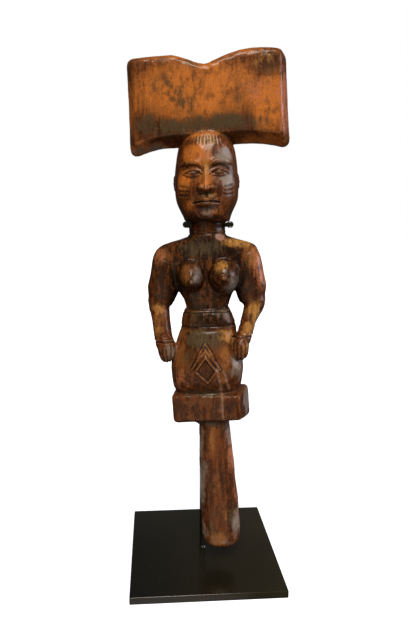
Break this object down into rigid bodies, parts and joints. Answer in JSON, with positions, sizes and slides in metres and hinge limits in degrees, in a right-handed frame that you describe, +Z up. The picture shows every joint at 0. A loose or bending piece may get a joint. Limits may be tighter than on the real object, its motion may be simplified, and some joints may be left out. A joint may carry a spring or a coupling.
{
  "type": "yoruba shango staff on a stand",
  "caption": "Carved hardwood dance staff: a double axe on the head of a kneeling woman above a round handle, resting by its neck in a rod cradle on a square steel base.",
  "frame": {"origin": "centre of the base plate's underside", "axes": "+Z up along the post, -Y to the front, where the figure faces, and +X to the right of someone who looks at its face"},
  "size_m": [0.127, 0.127, 0.4236],
  "materials": {
    "carved_wood": "oiled and handled hardwood, red-brown with orange wear, dark olive stains and a soft gloss",
    "black_steel": "satin black paint",
    "black_rubber": "matt black"
  },
  "bodies": {
    "root": {"carved_staff": "carved_wood", "base_plate": "black_steel", "post": "black_steel", "neck_cradle": "black_steel", "left_sleeve": "black_rubber", "right_sleeve": "black_rubber"}
  },
  "joints": []
}
